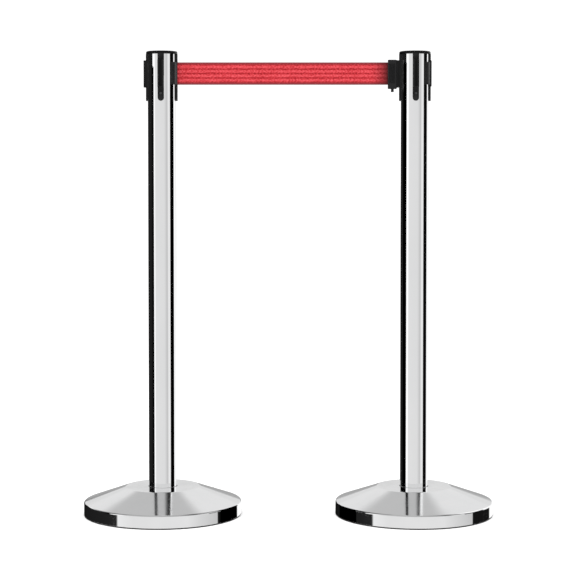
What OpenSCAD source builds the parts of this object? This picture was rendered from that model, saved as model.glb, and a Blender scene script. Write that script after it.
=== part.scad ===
// Two retractable belt stanchions, the left one's belt clipped to the right one.
// X runs along the belt, Z is up, and the origin is on the floor midway between the posts.

/* [Pair] */
// Distance between the axes of the two posts
post_gap = 544; // [460:1:1500]
// Height of each post
post_h = 1000; // [900:1:1050]

/* [Base] */
// Diameter of the base
base_d = 340; // [320:1:360]
// Height of the upright rim of the base cover
rim_h = 29; // [26:0.5:32]
// Diameter of the flat crown on top of the cone
crown_d = 160; // [120:1:180]
// Height of the crown above the floor
crown_h = 61; // [56:0.5:66]
// Sheet thickness of the base cover
cover_wall = 1; // [0.8:0.1:1.5]
// Thickness of the rubber ring on the floor
ring_h = 2.5; // [2:0.5:4]
// Thickness of the cast iron weight
weight_h = 12.5; // [10:0.5:14]

/* [Tube] */
// Outer diameter of the tube
tube_d = 60; // [60:0.5:61]
// Wall of the tube
tube_wall = 1.2; // [1:0.1:1.2]
// Width of the four slots at the top of the tube
slot_w = 13.3; // [13.3:0.1:13.6]
// Length of the slots
slot_l = 100.5; // [100:0.5:102]

/* [Head] */
// Thickness of the top cap
cap_h = 6.5; // [6:0.5:8]
// Diameter of the top cap
cap_d = 67.5; // [67.5:0.5:69]
// Radius of the cap's upper edge
cap_edge_r = 3.5; // [1:0.5:4]
// How far each rail stands out from the tube
rail_out = 3.8; // [3.6:0.1:4]
// How far a receiver's seat block stands out from the tube
seat_out = 8.8; // [8.8:0.1:9.5]
// Height of a receiver's seat block
seat_h = 58; // [58:0.5:59]
// Half angle of the saddle round the belt's mouth
saddle_angle = 42; // [30:1:43]

/* [Belt] */
// Width of the belt
belt_w = 48; // [40:1:48]
// Thickness of the belt
belt_t = 0.35; // [0.3:0.05:0.35]
// Length of the belt
belt_l = 2000; // [1700:10:2000]
// Height of the middle of the belt
belt_z = 952; // [951:1:953]

/* [Clip] */
// Length of the clip's body along the belt
clip_l = 18.9; // [18:0.1:18.9]
// Thickness of the clip's body
clip_t = 9.2; // [8.8:0.1:9.2]
// Height of the clip's body
clip_h = 62.5; // [62:0.5:62.5]

/* [Hidden] */
SIDES = ["left", "right"];
PIECES = [
    "floor_ring", "base_weight", "base_cover", "tie_rod", "tie_nuts", "foot_plug", "tube",
    "head_collar", "cassette_front", "cassette_rear", "cassette_screws", "axle", "axle_ring",
    "spool", "belt_coil", "power_spring", "belt_guides", "receivers", "exit_frame",
    "receiver_screws", "top_cap", "cap_screw", "belt", "clip_front", "clip_rear", "clip_bar",
    "clip_screws", "clip_lock", "lock_spring",
];
$fn = 96;
eps = 1; // how far a cut runs past a face

// posts and tube
tube_r = tube_d / 2;
tube_bore_r = tube_r - tube_wall;
tube_top_z = post_h - cap_h;
boss_top_z = 33;
slot_z = tube_top_z - slot_l;

// base
base_r = base_d / 2;
cone_slope = (crown_h - rim_h) / (base_r - crown_d / 2);
ring_r = base_r - 0.2;
ring_bore_r = 146;
ring_lip_h = 6;
weight_r = 158;
boss_r = 40;
spigot_r = 28.3;
spigot_h = 15;
recess_r = 14;
recess_h = 8.5;
rod_r = 6;
washer_r = 12;
washer_h = 2;
nut_r = 10.5;
nut_h = 6;
plug_z = 60;
plug_h = 10;

// rails and seats
rail_w = slot_w - 0.1;
rail_back_r = 27.6;
rail_r = tube_r + rail_out;
rail_edge_r = 1;
seat_r = tube_r + seat_out;
seat_z = belt_z - 30;
seat_floor = 1.5;
pocket_w = 11;
pocket_r0 = rail_r + 0.3;
pocket_r1 = pocket_r0 + 2.2;
neck_slot_w = 5.4;
receiver_screw_z = slot_z + 15.5;
exit_screw_z = slot_z + 9.5;
screw_r = 1.5;
screw_head_r = 2.6;
screw_head_h = 1.6;
screw_low = 0.3; // from the rail's face down to the screw head's
screw_slot_l = 3.4;
screw_slot_w = 0.6;
screw_slot_h = 0.8;
saddle_r0 = tube_r + 0.05;
saddle_r1 = tube_r + 3.2;
mouth_w = 9.6;
mouth_z0 = belt_z - 40.4;
mouth_z1 = belt_z + 30.3;

// cassette inside the tube
case_r = 27.3;
case_wall = 1;
case_z0 = slot_z + 0.2;
case_floor = 3;
case_z1 = tube_top_z - 8.7;
case_roof = 4.2;
collar_h = 13;
collar_r = tube_bore_r - 0.1;
spool_x = -9.6;
axle_r = 3;
axle_play = 0.05;
core_r = 5.5;
coil_gap = 0.3; // between the wound belt and the run that leaves it
flange_r = 16.3;
flange_t = 2.4;
flange_gap = 0.6; // room between the belt's edges and the flanges
cup_h = 27.5;
cup_wall = 1;
spring_turns = 9;
spring_t = 0.35;
spring_h = 21;
spring_gap = 3.5; // from the spool's lower flange down to the spring
spring_r0 = 4;
spring_r1 = 14.6;
guide_r = 1.1;
guide_x = 10.1;
guide_y = guide_r + 0.05 + belt_t / 2; // from each guide pin's axis to the belt's middle plane
clip_bay_x = 11.4; // the clip drawn into the mouth reaches in to here
case_screw_r = 1.2;
case_screw_l = 30;
case_screw_head_r = 1.9;
case_screw_head_h = 1.2;
case_screw_sink = 1.5;
case_boss_r = 3;
case_bolts = [[6.2, case_z1 - 2.1], [-20, case_z1 - 2.1], [17, case_z0 + 9.3]];

// cap and its countersunk screw
cap_ring_r = 25;
cap_screw_r = 2.5;
cap_screw_head_r = 5.1;
cap_screw_cone_h = 2.6;
cap_screw_rim_h = 0.4;
cap_screw_low = 0.3; // from the cap's top face down to the screw's
cap_key_r = 1.6;
cap_key_h = 2.3;

// clip, in its own frame: its face is at x = 0 and the belt comes in from -X
clip_z = belt_z - 33;
clip_edge_r = 1.6;
neck_w = 5;
neck_l = 3.1;
head_w = 10.6;
head_l = 1.8;
head_z = seat_z + seat_floor + 0.1;
head_h = 57;
head_chamfer = 1.6;
bar_x = -11;
bar_r = 1.6;
loop_r = bar_r + 0.3;
belt_slot = 1.4;
chamber_x0 = -16.8;
chamber_x1 = -6;
chamber_w = 6.2;
lock_z = clip_z + 1.2;
lock_h = 2.6;
lock_w = 6;
lock_l = 12.2;
lock_bay_l = 17.6;
lock_travel = 2.5;
lock_nose = 0.2;
tab_x0 = -12.1;
tab_x1 = -6.3;
tab_w = 5.2;
tab_h = 6.6;
lock_spring_r = 1.1;
lock_wire_r = 0.22;
lock_spring_l = 5;
lock_turns = 5;
clip_bolts = [belt_z - 17, belt_z + 14];
clip_bolt_x = -3;
clip_bolt_r = 1.1;
clip_bolt_head_r = 2;
clip_bolt_head_h = 1.4;
clip_bolt_seat = 2.8; // from the clip's middle plane to the screw heads' seats
clip_bolt_hole_l = 7.4;

// where the two clips are: one seated in the right post's left receiver, one parked in its mouth
right_x = post_gap / 2;
seated_x = right_x - seat_r - 0.4;
parked_x = right_x + rail_r + 0.05 - neck_l;
span_mid_x = 0;

// radius of the wound belt when len of it is on the spool
function coil_r(len) = sqrt(core_r * core_r + len * belt_t / PI);
function post_x(side) = side == "left" ? -right_x : right_x;
function clip_x(side) = side == "left" ? seated_x : parked_x;
function belt_out(side) = clip_x(side) + bar_x - post_x(side) - guide_x;
function wound_r(side) = coil_r(belt_l - belt_out(side));

module at_post(side) translate([post_x(side), 0, 0]) children();
module at_clip(side) translate([clip_x(side), 0, 0]) children();

// ---------- shapes that repeat ----------

module cylinder_from(z, r, h) translate([0, 0, z]) cylinder(r = r, h = h);

module ring(r0, r1, h) difference() {
    cylinder(r = r1, h = h);
    translate([0, 0, -eps]) cylinder(r = r0, h = h + 2 * eps);
}

// rectangle with its four corners rounded, from (x0, y0) to (x1, y1)
module rounded_rect(x0, y0, x1, y1, r) {
    translate([x0 + r, y0]) square([x1 - x0 - 2 * r, y1 - y0]);
    translate([x0, y0 + r]) square([x1 - x0, y1 - y0 - 2 * r]);
    for (x = [x0 + r, x1 - r], y = [y0 + r, y1 - r]) translate([x, y]) circle(r);
}

// pie slice pointing along +X, for cutting arcs out of rings
module wedge(r, half_angle) polygon([
    [0, 0], [r, -r * tan(half_angle)], [r, r * tan(half_angle)],
]);

// upright bar from radius r0 to r1 with a round foot, as the tube's slots and the rails have
module upright(r0, r1, w, z0, z1) {
    translate([r0, -w / 2, z0 + w / 2]) cube([r1 - r0, w, z1 - z0 - w / 2]);
    translate([r0, 0, z0 + w / 2]) rotate([0, 90, 0]) cylinder(d = w, h = r1 - r0);
}

// rail with rounded outer edges
module rail() intersection() {
    upright(rail_back_r, rail_r, rail_w, slot_z + 0.05, tube_top_z);
    translate([0, 0, slot_z - eps]) linear_extrude(slot_l + 2 * eps)
        rounded_rect(rail_back_r - 4, -rail_w / 2, rail_r, rail_w / 2, rail_edge_r);
}

// hole for a rail's screw, with room for its head
module rail_screw_hole(z) {
    translate([rail_back_r - eps, 0, z]) rotate([0, 90, 0]) cylinder(r = screw_r, h = seat_r);
    translate([rail_r - screw_head_h, 0, z]) rotate([0, 90, 0]) cylinder(r = screw_head_r, h = seat_r);
}

// hole in the cassette's wall that takes the tip of a rail's screw
module rail_screw_tip_hole(z)
    translate([case_r - case_wall - eps, 0, z]) rotate([0, 90, 0]) cylinder(r = screw_r, h = case_r);

// pan head screw with a cross recess, its tip in the cassette's wall
module rail_screw(z) translate([0, 0, z]) rotate([0, 90, 0]) difference() {
    union() {
        cylinder_from(case_r - case_wall, screw_r, rail_r - case_r);
        cylinder_from(rail_r - screw_head_h, screw_head_r, screw_head_h - screw_low);
    }
    for (a = [0, 90]) rotate([0, 0, a])
        translate([-screw_slot_l / 2, -screw_slot_w / 2, rail_r - screw_low - screw_slot_h])
            cube([screw_slot_l, screw_slot_w, seat_out]);
}

// ---------- base ----------

module floor_ring() color([0.06, 0.06, 0.06]) {
    ring(ring_bore_r, ring_r, ring_h);
    translate([0, 0, ring_h]) ring(base_r - 5.5, base_r - cover_wall - 0.3, ring_lip_h);
}

module base_weight() color([0.2, 0.2, 0.21]) difference() {
    union() {
        translate([0, 0, ring_h]) cylinder(r = weight_r, h = weight_h);
        translate([0, 0, ring_h]) cylinder(r = boss_r, h = boss_top_z - ring_h);
        cylinder_from(boss_top_z - eps, spigot_r, spigot_h + eps);
    }
    cylinder_from(0, rod_r, post_h);
    cylinder_from(0, recess_r, ring_h + recess_h);
}

// half section of the base cover's outside, moved inwards by inset, from z0 up
module cover_section(inset, z0) {
    r = base_r - inset;
    drop = inset * (sqrt(1 + cone_slope * cone_slope) - cone_slope);
    polygon([
        [0, z0], [r, z0], [r, rim_h - drop], [crown_d / 2, crown_h - inset], [0, crown_h - inset],
    ]);
}

module base_cover() color([0.85, 0.85, 0.86]) difference() {
    rotate_extrude() difference() {
        cover_section(0, ring_h);
        cover_section(cover_wall, ring_h - eps);
    }
    cylinder_from(ring_h, tube_r + 0.2, post_h);
}

module tie_rod() color([0.7, 0.7, 0.68])
    cylinder_from(ring_h + 1, rod_r, plug_z + plug_h + washer_h + nut_h + 4 - ring_h);

module hex_nut(z) translate([0, 0, z]) difference() {
    cylinder(r = nut_r, h = nut_h, $fn = 6);
    translate([0, 0, -eps]) cylinder(r = rod_r, h = nut_h + 2 * eps);
}

module tie_nuts() color([0.7, 0.7, 0.68]) {
    translate([0, 0, ring_h + recess_h - washer_h]) ring(rod_r, washer_r, washer_h);
    hex_nut(ring_h + recess_h - washer_h - nut_h);
    translate([0, 0, plug_z + plug_h]) ring(rod_r, washer_r, washer_h);
    hex_nut(plug_z + plug_h + washer_h);
}

module foot_plug() color([0.6, 0.6, 0.6]) translate([0, 0, plug_z]) ring(rod_r, tube_bore_r, plug_h);

// ---------- tube and head ----------

module tube() color([0.85, 0.85, 0.86]) difference() {
    cylinder_from(boss_top_z, tube_r, tube_top_z - boss_top_z);
    cylinder_from(boss_top_z - eps, tube_bore_r, post_h);
    for (a = [0 : 90 : 270]) rotate([0, 0, a])
        upright(tube_r - 6, tube_r + 6, slot_w, slot_z, post_h);
}

module head_collar() color([0.3, 0.3, 0.3]) difference() {
    cylinder_from(slot_z - collar_h, collar_r, collar_h);
    translate([spool_x, 0, 0]) cylinder_from(slot_z - collar_h - eps, axle_r, collar_h + 2 * eps);
}

// one receiver, facing +X
module receiver() difference() {
    union() {
        rail();
        intersection() {
            translate([rail_r - 2, 0, 0]) rotate([90, 0, 0]) linear_extrude(rail_w, center = true)
                polygon([
                    [0, seat_z], [seat_out - rail_out + 1.2, seat_z],
                    [seat_out - rail_out + 2, seat_z + 0.8],
                    [seat_out - rail_out + 2, seat_z + seat_h - 0.8],
                    [seat_out - rail_out + 1.2, seat_z + seat_h], [0, seat_z + seat_h],
                ]);
            translate([0, 0, seat_z - eps]) linear_extrude(seat_h + 2 * eps)
                rounded_rect(0, -rail_w / 2, seat_r, rail_w / 2, rail_edge_r);
        }
    }
    translate([pocket_r0, -pocket_w / 2, seat_z + seat_floor])
        cube([pocket_r1 - pocket_r0, pocket_w, seat_h]);
    translate([pocket_r0, -neck_slot_w / 2, seat_z + seat_floor])
        cube([seat_r - pocket_r0 + eps, neck_slot_w, seat_h]);
    rail_screw_hole(receiver_screw_z);
}

module receivers() color([0.09, 0.09, 0.09])
    for (a = [90, 180, 270]) rotate([0, 0, a]) receiver();

module exit_frame() color([0.09, 0.09, 0.09]) difference() {
    union() {
        rail();
        translate([0, 0, belt_z - belt_w / 2]) linear_extrude(belt_w) intersection() {
            difference() {
                circle(saddle_r1);
                circle(saddle_r0);
            }
            wedge(tube_r + 6, saddle_angle);
        }
    }
    translate([rail_back_r - eps, -mouth_w / 2, mouth_z0]) cube([12, mouth_w, mouth_z1 - mouth_z0]);
    rail_screw_hole(exit_screw_z);
}

module receiver_screws() color([0.75, 0.75, 0.75]) {
    for (a = [90, 180, 270]) rotate([0, 0, a]) rail_screw(receiver_screw_z);
    rail_screw(exit_screw_z);
}

module top_cap() color([0.07, 0.07, 0.07]) difference() {
    union() {
        translate([0, 0, tube_top_z]) rotate_extrude() {
            square([cap_d / 2, cap_h - cap_edge_r]);
            square([cap_d / 2 - cap_edge_r, cap_h]);
            intersection() {
                translate([cap_d / 2 - cap_edge_r, cap_h - cap_edge_r]) circle(cap_edge_r);
                square([cap_d, cap_h + cap_edge_r]);
            }
        }
        translate([0, 0, case_z1]) ring(cap_ring_r, case_r - 0.1, tube_top_z - case_z1);
    }
    cylinder_from(tube_top_z - eps, cap_screw_r, cap_h);
    cap_screw_head(eps);
}

// countersunk head under the cap's top face, with extra height above
module cap_screw_head(extra) {
    cone_z = post_h - cap_screw_cone_h - cap_screw_rim_h;
    translate([0, 0, cone_z]) cylinder(r1 = cap_screw_r, r2 = cap_screw_head_r, h = cap_screw_cone_h);
    cylinder_from(post_h - cap_screw_rim_h, cap_screw_head_r, cap_screw_rim_h + extra);
}

module cap_screw() color([0.12, 0.12, 0.12]) difference() {
    union() {
        tip_z = case_z1 - case_roof + 1.5;
        cylinder_from(tip_z, cap_screw_r, post_h - cap_screw_cone_h - cap_screw_rim_h - tip_z);
        cap_screw_head(-cap_screw_low);
    }
    cylinder_from(post_h - cap_screw_low - cap_key_h, cap_key_r, cap_h, $fn = 6);
}

// ---------- cassette ----------

module cassette_body() difference() {
    cylinder_from(case_z0, case_r, case_z1 - case_z0);
    difference() {
        cylinder_from(case_z0 + case_floor, case_r - case_wall, case_z1 - case_z0 - case_floor - case_roof);
        translate([case_bolts[2][0], 0, case_bolts[2][1]]) rotate([90, 0, 0])
            cylinder(r = case_boss_r, h = 2 * case_r, center = true);
    }
    translate([clip_bay_x, -mouth_w / 2 - 0.2, mouth_z0]) cube([30, mouth_w + 0.4, mouth_z1 - mouth_z0]);
    translate([spool_x, 0, 0]) cylinder_from(case_z0 - eps, axle_r, case_z1 - case_z0 - 1);
    for (y = [-guide_y, guide_y]) translate([guide_x, y, 0])
        cylinder_from(case_z0 + 1, guide_r, mouth_z1 - case_z0 - 1);
    cylinder_from(belt_z, cap_screw_r, post_h);
    for (a = [90, 180, 270]) rotate([0, 0, a]) rail_screw_tip_hole(receiver_screw_z);
    rail_screw_tip_hole(exit_screw_z);
    for (b = case_bolts) translate([b[0], 0, b[1]]) rotate([90, 0, 0]) {
        cylinder(r = case_screw_r, h = case_screw_l, center = true);
        translate([0, 0, case_screw_l / 2 - case_screw_sink])
            cylinder(r = case_screw_head_r, h = case_r);
    }
}

module cassette_front() color([0.14, 0.14, 0.15]) intersection() {
    cassette_body();
    translate([-50, -100, 0]) cube([100, 100, 2 * post_h]);
}

module cassette_rear() color([0.14, 0.14, 0.15]) intersection() {
    cassette_body();
    translate([-50, 0, 0]) cube([100, 100, 2 * post_h]);
}

module cassette_screws() color([0.7, 0.7, 0.68])
    for (b = case_bolts) translate([b[0], 0, b[1]]) rotate([90, 0, 0]) {
        translate([0, 0, -case_screw_l / 2])
            cylinder(r = case_screw_r, h = case_screw_l - case_screw_sink);
        translate([0, 0, case_screw_l / 2 - case_screw_sink])
            cylinder(r = case_screw_head_r, h = case_screw_head_h);
    }

module belt_guides() color([0.75, 0.75, 0.75])
    for (y = [-guide_y, guide_y]) translate([guide_x, y, 0])
        cylinder_from(case_z0 + 1, guide_r, mouth_z1 - case_z0 - 1.2);

module at_spool() translate([spool_x, 0, 0]) children();

module axle() color([0.75, 0.75, 0.75]) at_spool()
    cylinder_from(slot_z - collar_h - 3, axle_r, case_z1 - slot_z + collar_h + 1);

module axle_ring() color([0.3, 0.3, 0.32]) at_spool()
    translate([0, 0, slot_z - collar_h - 1.2]) ring(axle_r, 5.5, 1.2);

module spool() color([0.16, 0.16, 0.17]) at_spool() {
    flange_z0 = belt_z - belt_w / 2 - flange_gap - flange_t;
    flange_z1 = belt_z + belt_w / 2 + flange_gap;
    difference() {
        union() {
            cylinder_from(flange_z0, core_r, flange_z1 - flange_z0 + flange_t);
            cylinder_from(flange_z0, flange_r, flange_t);
            cylinder_from(flange_z1, flange_r, flange_t);
            cylinder_from(flange_z0 - cup_h, flange_r, cup_h);
        }
        cylinder_from(flange_z0 - cup_h - eps, flange_r - cup_wall, cup_h + eps);
        cylinder_from(flange_z0 - eps, axle_r + axle_play, post_h);
    }
}

module belt_coil(r) color([0.75, 0.1, 0.12]) at_spool()
    translate([0, 0, belt_z - belt_w / 2]) ring(core_r, r, belt_w);

// point i of the spiral's outer (side 1) or inner (side -1) face, 16 points a turn
function spiral_point(i, side) = let(
    a = i * 360 / 16,
    r = spring_r0 + (spring_r1 - spring_r0) * i / (16 * spring_turns) + side * spring_t / 2
) [r * cos(a), r * sin(a)];

// flat spiral spring in the spool's cup
module power_spring() color([0.5, 0.52, 0.55]) at_spool()
    translate([0, 0, belt_z - belt_w / 2 - flange_t - spring_gap - spring_h]) linear_extrude(spring_h)
        polygon(concat(
            [for (i = [0 : 16 * spring_turns]) spiral_point(i, 1)],
            [for (i = [16 * spring_turns : -1 : 0]) spiral_point(i, -1)]
        ));

// ---------- belt ----------

// [point, normal] along the belt's middle line, in plan: from the coil, round the front guide pin
// and straight out to x_end
function belt_line(r_wound, x_end) = let(
    r_coil = r_wound + coil_gap + belt_t / 2,
    run_x = guide_x - spool_x,
    reach = sqrt(run_x * run_x + guide_y * guide_y),
    climb = asin((r_coil + guide_y) / reach) - atan(guide_y / run_x),
    normal = [-sin(climb), cos(climb)]
) concat(
    [[[spool_x, 0] - r_coil * normal, normal]],
    [for (a = [climb : -climb / 8 : -0.01]) let(n = [-sin(a), cos(a)])
        [[guide_x, -guide_y] + guide_y * n, n]
    ],
    [[[x_end, 0], [0, 1]]]
);

module belt_plan(r_wound, x_end) {
    line = belt_line(r_wound, x_end);
    polygon(concat(
        [for (p = line) p[0] + p[1] * belt_t / 2],
        [for (i = [len(line) - 1 : -1 : 0]) line[i][0] - line[i][1] * belt_t / 2]
    ));
}

// loop of belt round a clip's bar, in the clip's own frame
module belt_loop() translate([bar_x, 0]) difference() {
    circle(loop_r + belt_t);
    circle(loop_r);
}

module belt_solid() color([0.85, 0.13, 0.17]) translate([0, 0, belt_z - belt_w / 2])
    linear_extrude(belt_w) children();

module left_belt() belt_solid()
    translate([post_x("left"), 0]) belt_plan(wound_r("left"), span_mid_x - post_x("left"));

module left_belt_end() belt_solid() translate([clip_x("left"), 0]) {
    belt_loop();
    start_x = span_mid_x - clip_x("left");
    translate([start_x, -belt_t / 2]) square([bar_x - loop_r - belt_t / 2 - start_x, belt_t]);
}

module right_belt() belt_solid() {
    loop_x = clip_x("right") + bar_x - loop_r - belt_t / 2 - right_x;
    translate([right_x, 0]) belt_plan(wound_r("right"), loop_x);
    translate([clip_x("right"), 0]) belt_loop();
}

// ---------- clip ----------

module clip_body() difference() {
    union() {
        intersection() {
            translate([0, 0, clip_z]) linear_extrude(clip_h)
                rounded_rect(-clip_l, -clip_t / 2, 0, clip_t / 2, 0.8);
            rotate([90, 0, 0]) linear_extrude(clip_t, center = true)
                rounded_rect(-clip_l, clip_z, 0, clip_z + clip_h, clip_edge_r);
        }
        translate([-eps, -neck_w / 2, head_z]) cube([neck_l + 2 * eps, neck_w, head_h]);
        rotate([90, 0, 0]) linear_extrude(head_w, center = true) polygon([
            [neck_l, head_z], [neck_l + head_l, head_z + head_chamfer],
            [neck_l + head_l, head_z + head_h - head_chamfer], [neck_l, head_z + head_h],
        ]);
    }
    // chamber round the bar, its slot for the belt, and the bar's sockets
    translate([chamber_x0, -chamber_w / 2, belt_z - 25.5]) cube([chamber_x1 - chamber_x0, chamber_w, 51]);
    translate([-clip_l - eps, -belt_slot / 2, belt_z - 24.8]) cube([4, belt_slot, 49.6]);
    translate([bar_x, 0, 0]) cylinder_from(belt_z - 28, bar_r, 56);
    // bay of the lock and its slot through the floor
    translate([-lock_bay_l, -lock_w / 2 - 0.2, lock_z - 0.2])
        cube([lock_bay_l + eps, lock_w + 0.4, lock_h + 0.4]);
    translate([tab_x0 - lock_travel - 0.3, -tab_w / 2 - 0.2, clip_z - eps])
        cube([tab_x1 - tab_x0 + lock_travel + 0.6, tab_w + 0.4, 3]);
    for (z = clip_bolts) translate([clip_bolt_x, 0, z]) rotate([90, 0, 0]) {
        cylinder(r = clip_bolt_r, h = clip_bolt_hole_l, center = true);
        translate([0, 0, -clip_t]) cylinder(r = clip_bolt_head_r, h = clip_t - clip_bolt_seat);
    }
}

module clip_front() color([0.1, 0.1, 0.1]) intersection() {
    clip_body();
    translate([-50, -100, 0]) cube([100, 100, 2 * post_h]);
}

module clip_rear() color([0.1, 0.1, 0.1]) intersection() {
    clip_body();
    translate([-50, 0, 0]) cube([100, 100, 2 * post_h]);
}

module clip_bar() color([0.75, 0.75, 0.75]) translate([bar_x, 0, 0]) cylinder_from(belt_z - 28, bar_r, 56);

module clip_screws() color([0.5, 0.5, 0.5])
    for (z = clip_bolts) translate([clip_bolt_x, 0, z]) rotate([90, 0, 0]) {
        translate([0, 0, -clip_bolt_seat])
            cylinder(r = clip_bolt_r, h = clip_bolt_seat + clip_bolt_hole_l / 2);
        translate([0, 0, -clip_bolt_seat - clip_bolt_head_h])
            cylinder(r = clip_bolt_head_r, h = clip_bolt_head_h);
    }

module clip_lock() color([0.1, 0.1, 0.1]) {
    translate([-lock_l, -lock_w / 2, lock_z]) cube([lock_l + lock_nose, lock_w, lock_h]);
    translate([tab_x0, -tab_w / 2, clip_z - tab_h]) cube([tab_x1 - tab_x0, tab_w, tab_h + 2]);
}

// helical spring behind the lock, along X
module lock_spring() color([0.7, 0.7, 0.72]) {
    steps = lock_turns * 12;
    sides = 6;
    x0 = -lock_l - lock_spring_l + lock_wire_r;
    pitch_l = lock_spring_l - 2 * lock_wire_r - 0.1;
    pts = [for (i = [0 : steps], j = [0 : sides - 1]) let(
        a = i * 30,
        b = j * 360 / sides,
        r = lock_spring_r + lock_wire_r * cos(b),
        x = x0 + pitch_l * i / steps + lock_wire_r * sin(b)
    ) [x, r * cos(a), lock_z + lock_h / 2 + r * sin(a)]];
    walls = [for (i = [0 : steps - 1], j = [0 : sides - 1]) let(k = (j + 1) % sides)
        [i * sides + j, i * sides + k, (i + 1) * sides + k, (i + 1) * sides + j]
    ];
    ends = [
        [for (j = [sides - 1 : -1 : 0]) j],
        [for (j = [0 : sides - 1]) steps * sides + j],
    ];
    polyhedron(pts, concat(walls, ends));
}

// ---------- what is drawn ----------

for (s = SIDES) {
    at_post(s) floor_ring();
    at_post(s) base_weight();
    at_post(s) base_cover();
    at_post(s) tie_rod();
    at_post(s) tie_nuts();
    at_post(s) foot_plug();
    at_post(s) tube();
    at_post(s) head_collar();
    at_post(s) cassette_front();
    at_post(s) cassette_rear();
    at_post(s) cassette_screws();
    at_post(s) axle();
    at_post(s) axle_ring();
    at_post(s) spool();
    at_post(s) belt_coil(wound_r(s));
    at_post(s) power_spring();
    at_post(s) belt_guides();
    at_post(s) receivers();
    at_post(s) exit_frame();
    at_post(s) receiver_screws();
    at_post(s) top_cap();
    at_post(s) cap_screw();
    at_clip(s) clip_front();
    at_clip(s) clip_rear();
    at_clip(s) clip_bar();
    at_clip(s) clip_screws();
    at_clip(s) clip_lock();
    at_clip(s) lock_spring();
}
left_belt();
left_belt_end();
right_belt();
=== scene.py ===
import math

import bmesh
import bpy
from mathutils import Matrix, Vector


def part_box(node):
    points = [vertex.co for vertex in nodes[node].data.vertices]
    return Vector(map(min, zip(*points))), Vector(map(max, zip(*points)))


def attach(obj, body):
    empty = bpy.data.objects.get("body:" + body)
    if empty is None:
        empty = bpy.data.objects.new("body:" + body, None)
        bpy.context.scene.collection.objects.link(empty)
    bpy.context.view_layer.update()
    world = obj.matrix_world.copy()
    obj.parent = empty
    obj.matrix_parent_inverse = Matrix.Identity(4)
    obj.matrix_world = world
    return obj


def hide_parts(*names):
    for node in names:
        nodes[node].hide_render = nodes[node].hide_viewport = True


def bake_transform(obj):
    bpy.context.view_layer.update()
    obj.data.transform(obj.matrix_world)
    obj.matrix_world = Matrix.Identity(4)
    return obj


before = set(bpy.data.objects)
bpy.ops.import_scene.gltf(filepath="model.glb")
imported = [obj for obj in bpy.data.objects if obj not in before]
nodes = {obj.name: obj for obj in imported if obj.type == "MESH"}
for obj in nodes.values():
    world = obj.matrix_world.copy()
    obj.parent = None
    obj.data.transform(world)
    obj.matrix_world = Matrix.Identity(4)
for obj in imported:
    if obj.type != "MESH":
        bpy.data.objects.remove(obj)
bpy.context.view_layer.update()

MM = 0.001
SIDES = ("left", "right")


# ---------------------------------------------------------------- places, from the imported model

def centre(node):
    lo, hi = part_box(node)
    return (lo + hi) / 2


POST_X = {side: centre(f"{side}_tube").x for side in SIDES}


# ---------------------------------------------------------------- meshes

def add_object(name, mesh, material, body, replaced=()):
    """A piece of the part."""
    obj = bpy.data.objects.new(name, mesh)
    bpy.context.scene.collection.objects.link(obj)
    obj.data.materials.append(material)
    if body is not None:
        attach(obj, body)
    if replaced:
        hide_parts(*replaced)
    return obj


def mesh_from(name, verts, faces, smooth=True):
    mesh = bpy.data.meshes.new(name)
    mesh.from_pydata(verts, [], faces)
    mesh.validate()
    if smooth:
        mesh.polygons.foreach_set("use_smooth", [True] * len(mesh.polygons))
    mesh.update()
    return mesh


def rounded_profile(corners, steps):
    """Points of a closed outline that runs anticlockwise, with its corners rounded. A corner is
    (r, z, fillet radius), and a point is (place, outward normal)."""
    n = len(corners)
    points = []
    for i, (r, z, radius) in enumerate(corners):
        here = Vector((r, z))
        before = Vector(corners[i - 1][:2])
        after = Vector(corners[(i + 1) % n][:2])
        a = (before - here).normalized()
        b = (after - here).normalized()
        na = Vector((-a.y, a.x))  # outward normals of the two sides
        nb = Vector((b.y, -b.x))
        half = a.angle(b) / 2
        reach = radius / math.tan(half)
        p0, p1 = here + a * reach, here + b * reach
        mid = (a + b).normalized() * (radius / math.sin(half)) + here
        for k in range(steps + 1):
            t = k / steps
            ang = (p0 - mid).angle(p1 - mid)
            v = ((p0 - mid) * math.sin((1 - t) * ang) + (p1 - mid) * math.sin(t * ang)) / math.sin(ang)
            p = mid + v
            nrm = v.normalized() if (na + nb).dot(v) > 0 else -v.normalized()
            points.append((p, nrm))
    return points


def circle(radius, count):
    turns = [2 * math.pi * k / count for k in range(count)]
    return [(radius * math.cos(a), radius * math.sin(a)) for a in turns]


def lathe(name, corners, axis_x, segments, steps):
    """Closed ring turned about the post's axis, with the outline's own normals."""
    outline = rounded_profile([(r * MM, z * MM, f * MM) for r, z, f in corners], steps)
    verts, faces, loop_normals = [], [], []
    count = len(outline)
    dirs = circle(1.0, segments)
    for c, s in dirs:
        for p, _ in outline:
            verts.append((axis_x + p.x * c, p.x * s, p.y))
    for s in range(segments):
        t = (s + 1) % segments
        for i in range(count):
            j = (i + 1) % count
            faces.append((s * count + i, t * count + i, t * count + j, s * count + j))
            for k, end in ((s, i), (t, i), (t, j), (s, j)):
                nrm = outline[end][1]
                loop_normals.append((nrm.x * dirs[k][0], nrm.x * dirs[k][1], nrm.y))
    mesh = mesh_from(name, verts, faces)
    mesh.normals_split_custom_set(loop_normals)
    return mesh


# ---------------------------------------------------------------- materials

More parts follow.
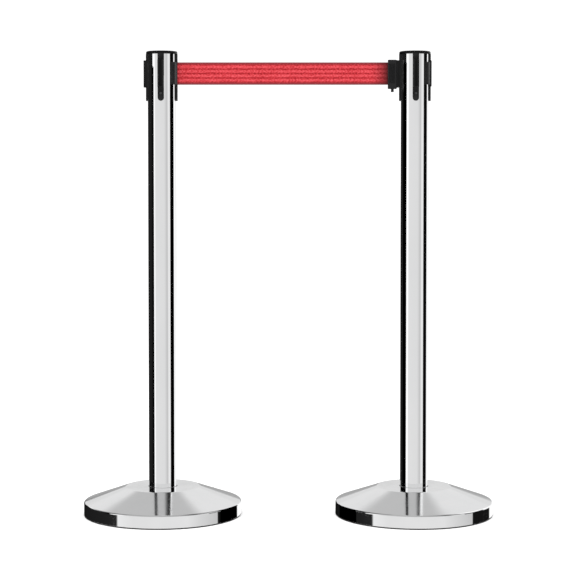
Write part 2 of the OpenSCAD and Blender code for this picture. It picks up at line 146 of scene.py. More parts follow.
class Nodes:
    """Builds one material's node tree. A value may be a number, a colour or another node's socket."""

    def __init__(self, name):
        self.material = bpy.data.materials.new(name)
        self.material.use_nodes = True
        self.tree = self.material.node_tree
        self.tree.nodes.clear()
        self.out = self.tree.nodes.new("ShaderNodeOutputMaterial")

    def add(self, kind, values=None, **settings):
        node = self.tree.nodes.new("ShaderNode" + kind)
        for key, value in settings.items():
            setattr(node, key, value)
        for key, value in (values or {}).items():
            socket = node.inputs[key]
            if isinstance(value, bpy.types.NodeSocket):
                self.tree.links.new(value, socket)
            else:
                socket.default_value = value
        return node

    def math(self, operation, a, b=0.0):
        return self.add("Math", {0: a, 1: b}, operation=operation).outputs[0]

    def place(self, scale=(1, 1, 1)):
        coord = self.add("TexCoord").outputs["Object"]
        return self.add("Mapping", {"Vector": coord, "Scale": scale}).outputs[0]

    def noise(self, vector, scale, detail=4.0, rough=0.55):
        return self.add(
            "TexNoise", {"Vector": vector, "Scale": scale, "Detail": detail, "Roughness": rough}
        ).outputs[0]

    def ramp(self, factor, stops):
        node = self.add("ValToRGB", {0: factor})
        elements = node.color_ramp.elements
        while len(elements) < len(stops):
            elements.new(0.5)
        for element, (at, value) in zip(elements, stops):
            element.position = at
            element.color = value if isinstance(value, tuple) else (value, value, value, 1)
        return node.outputs[0]

    def spread(self, factor, low, high, from_low=0.0, from_high=1.0):
        return self.add(
            "MapRange", {0: factor, 1: from_low, 2: from_high, 3: low, 4: high}
        ).outputs[0]

    def mix(self, factor, a, b):
        node = self.add("Mix", data_type="RGBA")
        for socket, value in ((node.inputs[0], factor), (node.inputs[6], a), (node.inputs[7], b)):
            if isinstance(value, bpy.types.NodeSocket):
                self.tree.links.new(value, socket)
            else:
                socket.default_value = value
        return node.outputs[2]

    def bump(self, height, strength, distance, normal=None):
        values = {"Height": height, "Strength": strength, "Distance": distance}
        if normal is not None:
            values["Normal"] = normal
        return self.add("Bump", values).outputs[0]

    def surface(self, **values):
        shader = self.add("BsdfPrincipled", {k.replace("_", " "): v for k, v in values.items()})
        self.tree.links.new(shader.outputs[0], self.out.inputs[0])
        return self.material


def colour(r, g, b):
    """sRGB 0..255 as linear."""
    def lin(v):
        v /= 255
        return v / 12.92 if v <= 0.04045 else ((v + 0.055) / 1.055) ** 2.4
    return (lin(r), lin(g), lin(b), 1.0)


def steel_tube():
    m = Nodes("steel_tube")
    drawn = m.noise(m.place((700, 700, 3)), 1.0, 2, 0.5)      # long drawing lines along the tube
    smudge = m.noise(m.place((1, 1, 0.45)), 14, 4, 0.6)       # faint handling marks
    rough = m.math("ADD", m.spread(smudge, 0.022, 0.050, 0.35, 0.75), m.spread(drawn, 0.0, 0.020, 0.3, 0.8))
    base = m.mix(m.spread(smudge, 0.0, 1.0, 0.3, 0.8), (0.90, 0.90, 0.905, 1), (0.86, 0.865, 0.87, 1))
    return m.surface(Base_Color=base, Metallic=1.0, Roughness=rough)


def steel_spun():
    """Polished steel of the base cover, spun about the post's axis."""
    m = Nodes("steel_spun")
    coord = m.add("SeparateXYZ", {0: m.add("TexCoord").outputs["Object"]})
    x = m.math("SUBTRACT", m.math("ABSOLUTE", coord.outputs[0]), abs(POST_X["left"]))
    y = coord.outputs[1]
    radius = m.math("SQRT", m.math("ADD", m.math("MULTIPLY", x, x), m.math("MULTIPLY", y, y)))
    angle = m.math("ARCTAN2", y, x)
    rings_at = m.add("CombineXYZ", {0: m.math("MULTIPLY", radius, 1400), 1: m.math("MULTIPLY", angle, 1.2),
                                    2: m.math("MULTIPLY", coord.outputs[2], 900)}).outputs[0]
    rings = m.noise(rings_at, 1.0, 2, 0.5)
    smudge = m.noise(m.place(), 17, 5, 0.6)
    wipes = m.noise(m.place((90, 22, 60)), 1.0, 3, 0.5)
    scuffs_at = m.add("CombineXYZ", {0: m.math("MULTIPLY", radius, 160), 1: m.math("MULTIPLY", angle, 34),
                                     2: m.math("MULTIPLY", coord.outputs[2], 160)}).outputs[0]
    scuffs = m.spread(m.noise(scuffs_at, 1.0, 6, 0.65), 0.0, 1.0, 0.66, 0.80)
    rough = m.math("ADD", m.spread(smudge, 0.05, 0.11, 0.35, 0.75), m.spread(rings, 0.0, 0.06, 0.35, 0.8))
    rough = m.math("ADD", rough, m.math("MULTIPLY", scuffs, 0.10))
    rough = m.math("ADD", rough, m.spread(wipes, 0.0, 0.03, 0.4, 0.8))
    rim_buff = m.spread(radius, 1.0, 0.30, RIM_R - 4.5 * MM, RIM_R - 1 * MM)      # the rim is buffed brighter
    rough = m.math("MULTIPLY", rough, rim_buff)
    base = m.mix(m.spread(smudge, 0.0, 1.0, 0.3, 0.8), (0.89, 0.89, 0.895, 1), (0.85, 0.855, 0.86, 1))
    base = m.mix(m.math("MULTIPLY", scuffs, 0.35), base, (0.72, 0.72, 0.73, 1))
    normal = m.bump(rings, 0.012, 0.00005)
    return m.surface(Base_Color=base, Metallic=1.0, Roughness=rough, Normal=normal)


def black_plastic(name="moulded_black", shine=0.36, grain=1.0):
    m = Nodes(name)
    place = m.place()
    fine = m.noise(place, 2600, 3, 0.6)                        # spark-eroded grain of the mould
    cloud = m.noise(place, 55, 4, 0.6)
    rub = m.noise(m.place((260, 260, 40)), 1.0, 5, 0.65)       # fine upright rub marks
    marks = m.spread(rub, 0.0, 1.0, 0.60, 0.78)
    wear = m.spread(m.add("NewGeometry").outputs["Pointiness"], 0.0, 1.0, 0.515, 0.60)
    base = m.mix(m.spread(cloud, 0.0, 1.0, 0.3, 0.75),
                 (0.0020, 0.0020, 0.0022, 1), (0.0042, 0.0041, 0.0043, 1))
    base = m.mix(m.math("MULTIPLY", marks, 0.30), base, (0.010, 0.010, 0.011, 1))
    base = m.mix(m.math("MULTIPLY", wear, 0.40), base, (0.024, 0.024, 0.025, 1))
    rough = m.math("ADD", m.spread(cloud, shine, shine + 0.10, 0.3, 0.75), m.math("MULTIPLY", marks, 0.10))
    rough = m.math("SUBTRACT", rough, m.math("MULTIPLY", wear, 0.10))
    normal = m.bump(fine, 0.10 * grain, 0.0001)
    normal = m.bump(cloud, 0.02, 0.001, normal)
    return m.surface(Base_Color=base, Roughness=rough, Normal=normal, Specular_IOR_Level=0.15)


def webbing():
    """Woven polyester belt: four ribs along its length, a herringbone that turns at each rib,
    single yarns and fuzz."""
    m = Nodes("red_webbing")
    coord = m.add("SeparateXYZ", {0: m.add("TexCoord").outputs["Object"]})
    # the height on the flat belt goes along when the belt bends; the coil inside has none and uses Z
    flat = m.add("Attribute", attribute_name="flat_height").outputs["Fac"]
    bends = m.math("GREATER_THAN", flat, 0.0)
    x = coord.outputs[0]
    z = m.spread(bends, coord.outputs[2], flat)
    lo, hi = BELT_Z
    across = m.math("DIVIDE", m.math("SUBTRACT", z, lo), hi - lo)             # 0 to 1 over the width
    rib = m.math("MULTIPLY", m.math("SUBTRACT", z, lo + SELVEDGE), 1 / RIB_PITCH)
    phase = m.math("FRACT", rib)
    rib_painted_light = m.math("SINE", m.math("MULTIPLY", phase, math.pi))                # 1 on a rib, 0 in a groove; in the colour it gives painted light on the ribs and painted shade in the grooves
    # herringbone: the twill line leans one way on the lower half of a rib and the other way above
    lean = m.math("ABSOLUTE", m.math("SUBTRACT", phase, 0.5))
    wobble = m.math("MULTIPLY", m.math("SUBTRACT", m.noise(m.place((75, 1, 90)), 1.0, 2, 0.5), 0.5), 1.5)
    twill = m.math("ADD", m.math("MULTIPLY", x, 1 / TWILL_PITCH),
                   m.math("ADD", m.math("MULTIPLY", lean, 1.7), wobble))
    twill_sine = m.math("SINE", m.math("MULTIPLY", twill, 2 * math.pi))
    twill_wave = m.math("ADD", m.math("MULTIPLY", twill_sine, 0.5), 0.5)
    # single yarns: warp along the belt, weft across it
    warp = m.math("SINE", m.math("MULTIPLY", z, 2 * math.pi / WARP_PITCH))
    weft_turn = m.math("MULTIPLY", x, 2 * math.pi / WEFT_PITCH)
    weft = m.math("SINE", m.math("ADD", weft_turn, m.math("MULTIPLY", lean, 12)))
    yarns = m.math("ADD", m.math("MULTIPLY", m.math("MULTIPLY", warp, weft), 0.5), 0.5)
    fuzz = m.noise(m.place((420, 420, 620)), 1.0, 4, 0.7)
    patch = m.noise(m.place((26, 1, 70)), 1.0, 3, 0.6)
    flecks = m.noise(m.place((230, 1, 340)), 1.0, 3, 0.6)                     # shadows between floats
    edge = m.math("ABSOLUTE", m.math("SUBTRACT", across, 0.5))
    inset = SELVEDGE / (hi - lo)
    edge = m.spread(edge, 0.0, 1.0, 0.5 - inset * 1.10, 0.5 - inset * 0.50)   # selvedges are woven tighter
    # the ribs are painted lighter and the grooves darker as painted shade; the flecks are painted shadows
    # between floats
    light = m.math("ADD", m.math("MULTIPLY", rib_painted_light, 0.56), m.math("MULTIPLY", twill_wave, 0.20))
    light = m.math("ADD", light, m.spread(patch, -0.12, 0.12, 0.25, 0.75))
    light = m.math("ADD", light, m.spread(yarns, -0.07, 0.07))
    light = m.math("ADD", light, m.spread(fuzz, -0.12, 0.12, 0.25, 0.75))
    light = m.math("ADD", light, m.spread(flecks, -0.42, 0.16, 0.32, 0.60))
    body = m.ramp(light, [
        (0.00, colour(140, 18, 26)), (0.28, colour(174, 36, 44)),
        (0.55, colour(198, 60, 68)), (0.90, colour(216, 82, 90)),
    ])
    body = m.mix(edge, body, colour(122, 44, 49))
    # painted shade at the post's mouth and next to the clip, carried by the strips' attribute
    body = m.mix(m.add("Attribute", attribute_name="painted_end_shade").outputs["Fac"], body, colour(70, 12, 16))
    rough = m.spread(yarns, 0.62, 0.82)
    height = m.math("ADD", m.math("MULTIPLY", twill_wave, 0.6), m.math("MULTIPLY", yarns, 0.5))
    normal = m.bump(height, 0.55, 0.00035)
    normal = m.bump(fuzz, 0.25, 0.0002, normal)
    return m.surface(Base_Color=body, Roughness=rough, Normal=normal, Sheen_Weight=0.10, Sheen_Roughness=0.5,
                     Sheen_Tint=(1.0, 0.62, 0.60, 1.0), Specular_IOR_Level=0.18)


def rubber():
    m = Nodes("black_rubber")
    pits = m.noise(m.place(), 900, 4, 0.65)
    dust = m.noise(m.place((30, 30, 300)), 1.0, 4, 0.6)
    base = m.mix(m.spread(dust, 0.0, 1.0, 0.35, 0.75), (0.010, 0.010, 0.010, 1), (0.030, 0.029, 0.028, 1))
    rough = m.spread(pits, 0.72, 0.92, 0.3, 0.7)
    normal = m.bump(pits, 0.4, 0.0003)
    return m.surface(Base_Color=base, Roughness=rough, Normal=normal, Specular_IOR_Level=0.3)


def cast_iron():
    m = Nodes("cast_iron_painted")
    lumps = m.noise(m.place(), 220, 6, 0.65)
    rust = m.spread(m.noise(m.place(), 24, 6, 0.7), 0.0, 1.0, 0.60, 0.72)
    base = m.mix(rust, (0.030, 0.030, 0.032, 1), (0.085, 0.035, 0.016, 1))
    rough = m.spread(lumps, 0.55, 0.80, 0.3, 0.7)
    return m.surface(Base_Color=base, Metallic=0.2, Roughness=rough, Normal=m.bump(lumps, 0.55, 0.0008))


def plated(name, tint, low, high, scale=(500, 500, 60)):
    """Zinc plated or blackened small steel parts."""
    m = Nodes(name)
    lines = m.noise(m.place(scale), 1.0, 4, 0.6)
    bloom = m.noise(m.place(), 130, 4, 0.6)
    dark = tuple(0.78 * c for c in tint[:3]) + (1,)
    base = m.mix(m.spread(bloom, 0.0, 1.0, 0.3, 0.75), tint, dark)
    rough = m.math("ADD", m.spread(bloom, low, high, 0.3, 0.7), m.spread(lines, 0.0, 0.08, 0.3, 0.7))
    return m.surface(Base_Color=base, Metallic=1.0, Roughness=rough, Normal=m.bump(lines, 0.08, 0.0002))


# ---------------------------------------------------------------- measures

belt_lo, belt_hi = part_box("left_belt")
BELT_Z = (belt_lo.z, belt_hi.z)
BELT_MID_Z = (BELT_Z[0] + BELT_Z[1]) / 2
BELT_THICK = 0.62 * MM
SELVEDGE = 5.2 * MM
RIB_COUNT = 4
RIB_PITCH = (BELT_Z[1] - BELT_Z[0] - 2 * SELVEDGE) / RIB_COUNT
TWILL_PITCH = 6.6 * MM
WARP_PITCH = 0.95 * MM
WEFT_PITCH = 1.3 * MM
MOUTH_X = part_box("left_receivers")[1].x
CLIP_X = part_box("left_clip_front")[0].x
RIM_R = 170 * MM                 # radius of the base's upright rim

STEEL_TUBE = steel_tube()
STEEL_SPUN = steel_spun()
PLASTIC = black_plastic()
PLASTIC_GLOSS = black_plastic("moulded_black_cap", shine=0.27, grain=0.6)
INNER_PLASTIC = black_plastic("moulded_inner", shine=0.50, grain=1.6)
WEBBING = webbing()
RUBBER = rubber()
IRON = cast_iron()
ZINC = plated("zinc_plated", (0.62, 0.62, 0.60, 1), 0.22, 0.36)
BLACK_STEEL = plated("blackened_steel", (0.045, 0.045, 0.048, 1), 0.28, 0.42)
RAIL_SCREW = plated("rail_screw", (0.11, 0.11, 0.115, 1), 0.46, 0.60)
SPRING = plated("spring_steel", (0.42, 0.42, 0.44, 1), 0.20, 0.32, (60, 60, 600))

BY_SLOT = {
    "polished_steel": STEEL_TUBE, "black_plastic": PLASTIC, "inner_plastic": INNER_PLASTIC,
    "red_webbing": WEBBING, "rubber": RUBBER, "cast_iron": IRON, "zinc_steel": ZINC,
    "black_steel": BLACK_STEEL, "spring_steel": SPRING,
}
for node in nodes.values():
    for material_slot in node.material_slots:
        material_slot.material = BY_SLOT[material_slot.material.name.split(".")[0]]
for side in SIDES:
    for material_slot in nodes[f"{side}_receiver_screws"].material_slots:
        material_slot.material = RAIL_SCREW


# ---------------------------------------------------------------- posts

WALL_FACES = 0.995               # a face whose normal is this nearly radial belongs to the tube's wall


def build_tube(side):
    """Thin tube whose top has four slots with round feet; its edges are slightly rolled in."""
    lo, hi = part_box(f"{side}_tube")
    x0 = POST_X[side]
    r_out = (hi.x - lo.x) / 2
    r_in = r_out - 1.2 * MM
    half_w = 6.65 * MM           # half the width of a slot
    foot_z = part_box(f"{side}_receivers")[0].z - 0.05 * MM + half_w
    edge = math.asin(half_w / r_out)
    panel_steps, slot_steps = 22, 14
    columns = []  # (angle at the outer face, offset across the slot or None, top z, kind)
    for q in range(4):
        mid = q * math.pi / 2
        for k in range(slot_steps + 1):
            t = math.cos(math.pi * (1 - k / slot_steps))
            y = half_w * t
            top = foot_z - math.sqrt(max(half_w * half_w - y * y, 0.0))
            columns.append((mid, y, top, "slot"))
        for k in range(panel_steps + 1):
            a = mid + edge + (math.pi / 2 - 2 * edge) * k / panel_steps
            columns.append((a, None, hi.z, "panel"))
    rows = [0.0, 0.25, 0.5, 0.75, 0.97]      # shares of the height up to the slots' feet
    bm = bmesh.new()
    shells = []
    for r in (r_out, r_in):
        grid = []
        for a, y, top, kind in columns:
            if y is not None:
                a = a + math.asin(y / r)
            elif r == r_in:
                # keep the slot's sides parallel
                q = math.floor((a % (2 * math.pi)) / (math.pi / 2))
                mid = q * math.pi / 2
                share = ((a - mid) - edge) / (math.pi / 2 - 2 * edge)
                inner = math.asin(half_w / r)
                a = mid + inner + (math.pi / 2 - 2 * inner) * share
            zs = [lo.z + (foot_z - half_w - lo.z) * t for t in rows]
            if kind == "panel":
                zs += [foot_z, (foot_z + hi.z) / 2, hi.z]
            else:
                zs += [top]
            grid.append([bm.verts.new((x0 + r * math.cos(a), r * math.sin(a), z)) for z in zs])
        shells.append(grid)
    count = len(columns)

    def strip(a, b, flip, n):
        for i in range(n - 1):
            quad = [a[i], b[i], b[i + 1], a[i + 1]]
            try:
                bm.faces.new(quad[::-1] if flip else quad)
            except ValueError:
                pass

    for s, grid in enumerate(shells):
        for c in range(count):
            a, b = grid[c], grid[(c + 1) % count]
            ka, kb = columns[c][3], columns[(c + 1) % count][3]
            n = min(len(a), len(b)) if ka == kb else len(rows) + 1
            strip(a, b, s == 1, n)
    bmesh.ops.remove_doubles(bm, verts=bm.verts, dist=0.004 * MM)
    # close the wall between the two shells along every open edge
    open_edges = [e for e in bm.edges if len(e.link_faces) == 1]
    pairs = {}
    for outer_column, inner_column in zip(*shells):
        for vo, vi in zip(outer_column, inner_column):
            if vo.is_valid and vi.is_valid:
                pairs[vo] = vi
    for e in open_edges:
        v, w = e.verts
        if v in pairs and w in pairs:
            try:
                bm.faces.new((v, w, pairs[w], pairs[v]))
            except ValueError:
                pass
    bmesh.ops.recalc_face_normals(bm, faces=bm.faces)
    mesh = bpy.data.meshes.new(f"{side}_tube_skin")
    bm.to_mesh(mesh)
    bm.free()
    mesh.polygons.foreach_set("use_smooth", [True] * len(mesh.polygons))
    obj = add_object(f"{side}_tube_skin", mesh, STEEL_TUBE, f"{side}_post",
                     [f"{side}_tube"])
    bevel = obj.modifiers.new("rolled_edges", "BEVEL")
    bevel.width = 0.35 * MM
    bevel.segments = 3
    bevel.limit_method = "ANGLE"
    bevel.angle_limit = math.radians(60)
    bpy.context.view_layer.update()
    rolled = bpy.data.meshes.new_from_object(obj.evaluated_get(bpy.context.evaluated_depsgraph_get()))
    obj.modifiers.remove(bevel)
    # the walls' normals point exactly away from the axis; the rolled edges keep their own
    normals = [tuple(corner.vector) for corner in rolled.corner_normals]
    for face in rolled.polygons:
        out = Vector((face.center.x - x0, face.center.y, 0.0)).normalized()
        if abs(face.normal.dot(out)) < WALL_FACES:
            continue
        way = 1 if face.normal.dot(out) > 0 else -1
        for index in face.loop_indices:
            co = rolled.vertices[rolled.loops[index].vertex_index].co
            normals[index] = tuple(way * Vector((co.x - x0, co.y, 0.0)).normalized())
    rolled.normals_split_custom_set(normals)
    obj.data = rolled


# outlines to turn, in mm: (radius, height, fillet)
COVER_OUTLINE = [
    (170.0, 2.6, 0.25), (170.0, 29.0, 3.6), (80.0, 61.0, 9.0), (31.1, 61.0, 0.4), (31.1, 59.2, 0.3),
    (32.0, 59.2, 0.3), (32.0, 60.0, 0.1), (79.8, 60.0, 8.0), (169.0, 28.3, 2.6), (169.0, 2.6, 0.25),
]
FOOT_OUTLINE = [
    (169.8, 0.0, 0.8), (169.8, 2.5, 0.3), (168.6, 2.5, 0.1), (168.6, 8.5, 0.8), (164.6, 8.5, 0.8),
    (164.6, 2.6, 0.4), (150.0, 2.5, 0.4), (146.0, 2.5, 0.8), (146.0, 0.0, 0.8), (152.0, 0.0, 0.4),
    (152.5, 0.9, 0.3), (158.5, 0.9, 0.3), (159.0, 0.0, 0.4),
]
CAP_OUTLINE = [
    (33.75, 993.5, 0.35), (33.75, 999.6, 3.3), (27.6, 999.82, 0.3), (27.3, 999.45, 0.2),
    (26.5, 999.45, 0.2), (26.2, 999.84, 0.3), (5.1, 1000.0, 0.2), (5.1, 999.6, 0.15),
    (2.6, 997.1, 0.1), (2.6, 993.5, 0.1), (25.0, 993.5, 0.2), (25.0, 984.8, 0.2),
    (27.2, 984.8, 0.2), (27.2, 993.5, 0.1),
]


def build_post(side):
    build_tube(side)
    for piece, outline, segments, steps, material, slot, node in (
        ("cover_skin", COVER_OUTLINE, 256, 8, STEEL_SPUN, "polished_steel", "base_cover"),
        ("rubber_foot", FOOT_OUTLINE, 256, 4, RUBBER, "rubber", "floor_ring"),
        ("cap_skin", CAP_OUTLINE, 160, 7, PLASTIC_GLOSS, "black_plastic", "top_cap"),
    ):
        name = f"{side}_{piece}"
        mesh = lathe(name, outline, POST_X[side], segments, steps)
        add_object(name, mesh, material, f"{side}_post", [f"{side}_{node}"])


for side in SIDES:
    build_post(side)


# ---------------------------------------------------------------- belts

def belt_section():
    """(y, z) outline of the webbing's section: ribs on both faces, thin selvedges with round edges."""
    def selvedge_y(t):
        round_edge = 0.34 * math.sin(math.pi / 2 * min(1, 1.6 * t))
        return BELT_THICK * (0.28 + round_edge - 0.14 * math.sin(math.pi * t))

    lo, hi = BELT_Z
    rib_steps, selvedge_steps = 10, 4
    half = []
    for k in range(selvedge_steps):
        t = k / selvedge_steps
        half.append((selvedge_y(t), lo + SELVEDGE * t))
    for i in range(RIB_COUNT):
        for k in range(rib_steps + (1 if i == RIB_COUNT - 1 else 0)):
            t = k / rib_steps
            half.append((BELT_THICK * (0.56 + 0.44 * abs(math.sin(math.pi * t)) ** 0.7),
                         lo + SELVEDGE + RIB_PITCH * (i + t)))
    for k in range(selvedge_steps - 1, -1, -1):
        t = k / selvedge_steps
        half.append((selvedge_y(t), hi - SELVEDGE * t))
    return [(-y, z) for y, z in half] + half[::-1]


def between(value, low, high):
    return min(1.0, max(0.0, (value - low) / (high - low)))


def belt_strip(name, x0, x1, step, painted_end_shade=True, joined=(False, False)):
    """Straight run of ribbed webbing from x0 to x1 on the plane y = 0, with a shallow hollow in an end
    where another run goes on. The left belt has painted shade at the mouth and next to the clip."""
    outline = belt_section()
    n = max(2, int(round((x1 - x0) / step)))
    verts, faces = [], []
    for i in range(n + 1):
        x = x0 + (x1 - x0) * i / n
        # real webbing isn't dead flat: a slow cupping and a hair of ripple, none at its two ends
        ease = math.sin(math.pi * i / n) ** 2 if n > 4 else 0.0
        ripple = 0.25 * MM * ease * math.sin(9.0 * x + 0.7)
        for y, z in outline:
            cup = 0.35 * MM * ease * (2 * (z - BELT_Z[0]) / (BELT_Z[1] - BELT_Z[0]) - 1) ** 2
            verts.append((x, y + ripple + cup, z))
    m = len(outline)
    for i in range(n):
        for k in range(m):
            j = (k + 1) % m
            faces.append((i * m + k, (i + 1) * m + k, (i + 1) * m + j, i * m + j))
    sides = len(faces)
    for end, x, way in ((0, x0, 1), (1, x1, -1)):
        rim = end * n * m
        last = rim
        if joined[end]:
            last = len(verts)
            verts += [(x + way * 1 * MM, 0.4 * y, BELT_MID_Z + 0.97 * (z - BELT_MID_Z)) for y, z in outline]
            for k in range(m):
                j = (k + 1) % m
                quad = (rim + k, last + k, last + j, rim + j)
                faces.append(quad if end else quad[::-1])
        cap = tuple(last + k for k in range(m))
        faces.append(cap[::-1] if end else cap)
    mesh = mesh_from(name, verts, faces)
    for poly in list(mesh.polygons)[sides:]:
        poly.use_smooth = False
    # sharp round both ends, so that the sides' shading runs straight on into the next strip
    for edge in mesh.edges:
        a, b = edge.vertices
        edge.use_edge_sharp = a // m == b // m and not 0 < a // m < n
    heights = mesh.attributes.new("flat_height", "FLOAT", "POINT")
    heights.data.foreach_set("value", [vertex.co.z for vertex in mesh.vertices])
    # painted shade: the left belt darkens at the post's mouth and towards the clip
    end_shading = mesh.attributes.new("painted_end_shade", "FLOAT", "POINT")
    if painted_end_shade:
        for vertex, share in zip(mesh.vertices, end_shading.data):
            x = vertex.co.x
            share.value = max(0.60 * (1 - between(x, MOUTH_X, MOUTH_X + 12 * MM)),
                              0.97 * between(x, CLIP_X - 36 * MM, CLIP_X) ** 1.3)
    return mesh


LEAVES_COIL = 10 * MM            # from the post's axis to where a strip starts
bar_x = centre("left_clip_bar").x
parked_bar_x = centre("right_clip_bar").x

# the left belt crosses two joints, so it is two strips that meet at x = 0
run = add_object(
    "left_belt_run",
    belt_strip("left_belt_run", POST_X["left"] + LEAVES_COIL, 0.0, 4 * MM, joined=(False, True)),
    WEBBING, None, ["left_belt"],
)
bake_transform(run)
rest = add_object(
    "left_belt_to_clip",
    belt_strip("left_belt_to_clip", 0.0, bar_x, 4 * MM, joined=(True, False)),
    WEBBING, None, ["left_belt_end"],
)
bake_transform(rest)
inner = add_object(
    "right_belt_run",
    belt_strip("right_belt_run", POST_X["right"] + LEAVES_COIL, parked_bar_x - 1.5 * MM, 1 * MM, painted_end_shade=False),
    WEBBING, None, ["right_belt"],
)
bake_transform(inner)


# ---------------------------------------------------------------- springs behind the clips' locks

def lock_spring(side):
    """Helical wire spring along X, which the lock slides back against."""
    lo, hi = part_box(f"{side}_lock_spring")
    mid = (lo + hi) / 2
    wire, turns, round_steps, wire_sides = 0.22 * MM, 5, 20, 8
    radius = (hi.z - lo.z) / 2 - wire
    steps = turns * round_steps
    verts, faces = [], []
    for i in range(steps + 1):
        a = 2 * math.pi * i / round_steps
        x = lo.x + wire + (hi.x - lo.x - 2 * wire) * i / steps
        for j in range(wire_sides):
            b = 2 * math.pi * j / wire_sides
            r = radius + wire * math.cos(b)
            verts.append((x + wire * math.sin(b), mid.y + r * math.cos(a), mid.z + r * math.sin(a)))
    for i in range(steps):
        for j in range(wire_sides):
            k = (j + 1) % wire_sides
            faces.append((i * wire_sides + j, i * wire_sides + k,
                          (i + 1) * wire_sides + k, (i + 1) * wire_sides + j))
    faces.append(tuple(range(wire_sides - 1, -1, -1)))
    faces.append(tuple(steps * wire_sides + j for j in range(wire_sides)))
    name = f"{side}_lock_coil"
    coil = add_object(name, mesh_from(name, verts, faces), SPRING, None,
                      [f"{side}_lock_spring"])
    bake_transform(coil)


lock_spring("left")
lock_spring("right")


# ---------------------------------------------------------------- clips' grip ribs

def grip_bars(name, bars):
    """Low half-round bars. A bar is (x, y of the face, outward sign, z0, z1, half width, height)."""
    verts, faces = [], []
    for x, y, sign, z0, z1, half, height in bars:
        rows = []
        for z, share in ((z0, 0.0), (z0 + 0.6 * half, 0.7), (z0 + 1.5 * half, 1.0), (z1 - 1.5 * half, 1.0),
                         (z1 - 0.6 * half, 0.7), (z1, 0.0)):
            row = []
            for k in range(7):
                a = math.pi * k / 6
                row.append(len(verts))
                verts.append((x + half * math.cos(a) * (0.55 + 0.45 * share),
                              y + sign * (height * share * math.sin(a) - 0.05 * MM), z))
            rows.append(row)
        for lower, upper in zip(rows, rows[1:]):
            for k in range(6):
                quad = (lower[k], lower[k + 1], upper[k + 1], upper[k])
                faces.append(quad if sign > 0 else quad[::-1])
    return mesh_from(name, verts, faces)


GRIP_COUNT = 5
GRIP_PITCH = 2.6 * MM
GRIP_LAST = 13.7 * MM            # from the clip's left end to its last bar

for side, body in (("left", "belt_clip"), ("right", "right_clip")):
    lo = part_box(f"{side}_clip_front")[0]
    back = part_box(f"{side}_clip_rear")[1].y
    bars = []
    for k in range(GRIP_COUNT):
        x = lo.x + GRIP_LAST - GRIP_PITCH * k
        for y, sign in ((lo.y, -1), (back, 1)):
            bars.append((x, y, sign, BELT_Z[0] + 3 * MM, BELT_Z[1] - 3 * MM, 0.75 * MM, 0.55 * MM))
    grips = grip_bars(f"{side}_clip_grips", bars)
    add_object(f"{side}_clip_grips", grips, PLASTIC, body)


# ---------------------------------------------------------------- stage

def stage_object(name, verts, faces, material):
    obj = bpy.data.objects.new(name, mesh_from(name, verts, faces, smooth=False))
    bpy.context.scene.collection.objects.link(obj)
    obj.data.materials.append(material)
    return obj


def floor_material():
    m = Nodes("pale_floor")
    cloud = m.noise(m.place(), 0.8, 3, 0.5)
    base = m.mix(m.spread(cloud, 0.0, 1.0, 0.3, 0.7), (0.90, 0.90, 0.90, 1), (0.93, 0.93, 0.93, 1))
    return m.surface(Base_Color=base, Roughness=0.6, Specular_IOR_Level=0.0)


def tent_material():
    """Soft boxes and dark flags all round, seen by glossy surfaces only.
    Turned about Z: 0 is in front of the belt, positive to the right; height is in shares of the radius."""
    m = Nodes("light_tent")
    coord = m.add("SeparateXYZ", {0: m.add("TexCoord").outputs["Object"]})
    turn = m.math("ARCTAN2", coord.outputs[0], m.math("MULTIPLY", coord.outputs[1], -1.0))
    turn = m.math("ADD", m.math("DIVIDE", turn, 2 * math.pi), 0.5)
    height = m.math("DIVIDE", coord.outputs[2], TENT_R)

    def around(stops):
        return m.ramp(turn, [((degrees + 180) / 360, value) for degrees, value in stops])

    eye_level = around([
        (-180, 0.41), (-168, 0.41), (-165, 0.003), (-140, 0.003), (-138, 0.014), (-92, 0.014),
        (-89, 0.003), (-79, 0.003), (-77, 1.15), (-58, 1.12), (-52, 0.82), (20, 0.80), (30, 0.74),
        (42, 0.61), (50, 0.66), (54, 0.88), (73.5, 0.92), (75, 0.003), (115, 0.003), (117, 1.10),
        (162, 1.05), (168, 0.41), (179.9, 0.41),
    ])
    low = around([
        (-180, 0.40), (-176, 0.006), (-140, 0.012), (-90, 0.016), (-66.5, 0.02), (-64.5, 0.93),
        (-40, 0.84), (40, 0.86), (60, 0.74), (90, 0.62), (90.5, 0.008), (139, 0.008), (141, 1.12),
        (179.9, 1.05),
    ])
    above = around([
        (-180, 0.78), (-153, 0.78), (-150, 0.003), (-79, 0.003), (-77, 1.15), (-58, 1.12),
        (-52, 0.80), (54, 0.80), (73.5, 0.88), (75, 0.003), (115, 0.003), (117, 1.10), (150, 1.05),
        (153, 0.78), (179.9, 0.78),
    ])
    high = around([
        (-180, 0.84), (-150, 0.84), (-144, 1.15), (-72, 1.10), (-66, 0.30), (40, 0.26), (62, 0.07),
        (80, 0.07), (88, 1.12), (144, 1.15), (150, 0.84), (179.9, 0.84),
    ])
    ceiling = around([
        (-180, 0.56), (-128, 0.56), (-118, 0.05), (-84, 0.05), (-74, 0.60), (74, 0.60), (84, 0.05),
        (118, 0.05), (128, 0.56), (179.9, 0.56),
    ])

    def over(low_height, high_height, under, upper, at_height=height):
        return m.mix(m.spread(at_height, 0.0, 1.0, low_height, high_height), under, upper)

    wall = over(-0.1925, -0.1910, low, eye_level)
    wall = over(0.150, 0.165, wall, above)
    wall = over(0.320, 0.360, wall, high)
    # the ceiling panel's edge hangs lower on the left
    slanted = m.math("SUBTRACT", height, m.math("MULTIPLY", coord.outputs[0], 0.59 / TENT_R))
    colour_out = over(0.82, 0.98, wall, ceiling, slanted)
    emit = m.add("Emission", {"Color": colour_out, "Strength": 1.0})
    m.tree.links.new(emit.outputs[0], m.out.inputs[0])
    m.material.cycles.emission_sampling = "NONE"
    return m.material


TENT_R = 100.0
TENT_Z = (-60.0, 130.0)
TENT_SIDES = 96
FLOOR_R = 60.0
FLOOR_SIDES = 64
WORLD_STRENGTH = 1.13

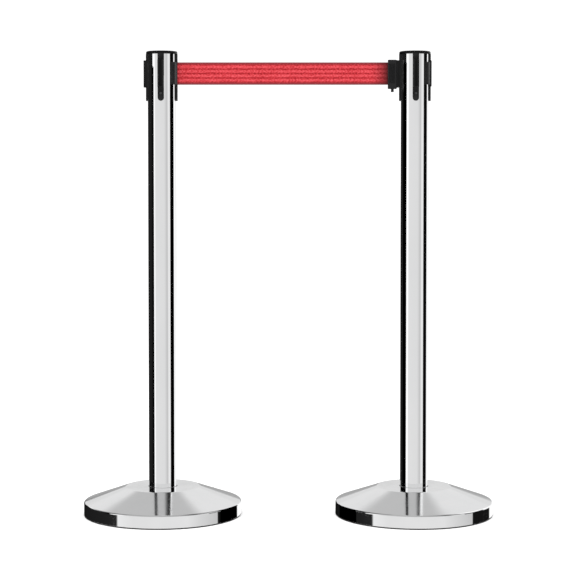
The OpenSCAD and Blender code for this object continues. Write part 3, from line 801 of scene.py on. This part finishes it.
count = TENT_SIDES
tent_verts = [(x, y, z) for z in TENT_Z for x, y in circle(TENT_R, count)]
tent_faces = [(k, (k + 1) % count, count + (k + 1) % count, count + k) for k in range(count)]
tent_faces.append(tuple(count + k for k in range(count)))
tent = stage_object("light_tent", tent_verts, tent_faces, tent_material())

black_card = Nodes("black_card")
no_light = black_card.add("Emission", {"Strength": 0.0})
black_card.tree.links.new(no_light.outputs[0], black_card.out.inputs[0])


def flag(name, x, y_range, z_range):
    """Upright black card on the plane at x: it puts a black band on the tubes."""
    (y0, y1), (z0, z1) = y_range, z_range
    corners = [(x, y0, z0), (x, y1, z0), (x, y1, z1), (x, y0, z1)]
    return stage_object(name, corners, [(0, 1, 2, 3)], black_card.material)


flags = (
    flag("flag_between_posts", 0, (-0.095, 0.100), (-0.15, 0.99)),
    flag("flag_left_of_posts", -0.70, (-0.196, -0.100), (-0.035, 0.99)),
)
for card in (tent, *flags):
    card.visible_camera = False
    card.visible_diffuse = False
    card.visible_shadow = False
    card.visible_transmission = False
    card.visible_volume_scatter = False

floor_verts = [(x, y, 0.0) for x, y in circle(FLOOR_R, FLOOR_SIDES)]
floor = stage_object("floor", floor_verts, [tuple(range(FLOOR_SIDES))], floor_material())
floor.visible_glossy = False

for belt in (run, rest, inner):
    belt.visible_glossy = False      # no red line on the steel, as in the photograph

world = bpy.data.worlds.new("studio")
world.use_nodes = True
bpy.context.scene.world = world
background = world.node_tree.nodes["Background"]
background.inputs[0].default_value = (1, 1, 1, 1)
background.inputs[1].default_value = WORLD_STRENGTH


def soft_light(name, location, target, size, power):
    data = bpy.data.lights.new(name, "AREA")
    data.shape = "DISK"
    data.size = size
    data.energy = power
    obj = bpy.data.objects.new(name, data)
    bpy.context.scene.collection.objects.link(obj)
    obj.location = location
    obj.rotation_mode = "QUATERNION"
    obj.rotation_quaternion = (Vector(target) - Vector(location)).to_track_quat("-Z", "Y")
    obj.visible_glossy = False
    obj.visible_camera = False


soft_light("overhead", (0.0, -0.6, 4.2), (0, 0, 0.3), 4.5, 110)
soft_light("front_left", (-2.6, -3.6, 2.4), (0, 0, 0.5), 2.2, 30)


# ---------------------------------------------------------------- camera

EYE_X = -0.0018                  # m, aside
EYE_H = 0.7548                   # m, above the floor
EYE_D = 3.7057                   # m, in front of the posts
TILT = 2.184                     # degrees below level
LENS = 107.65                    # mm
SHIFT = -0.0983                  # shares of the picture's width

camera_data = bpy.data.cameras.new("camera")
camera = bpy.data.objects.new("camera", camera_data)
bpy.context.scene.collection.objects.link(camera)
camera.location = (EYE_X, -EYE_D, EYE_H)
camera.rotation_euler = (math.radians(90 - TILT), 0.0, 0.0)
camera_data.sensor_width = 36.0
camera_data.lens = LENS
camera_data.shift_y = SHIFT
camera_data.clip_start = 0.05
camera_data.clip_end = 400.0
bpy.context.scene.camera = camera

bpy.context.scene.view_settings.view_transform = "Standard"
bpy.context.scene.view_settings.look = "None"
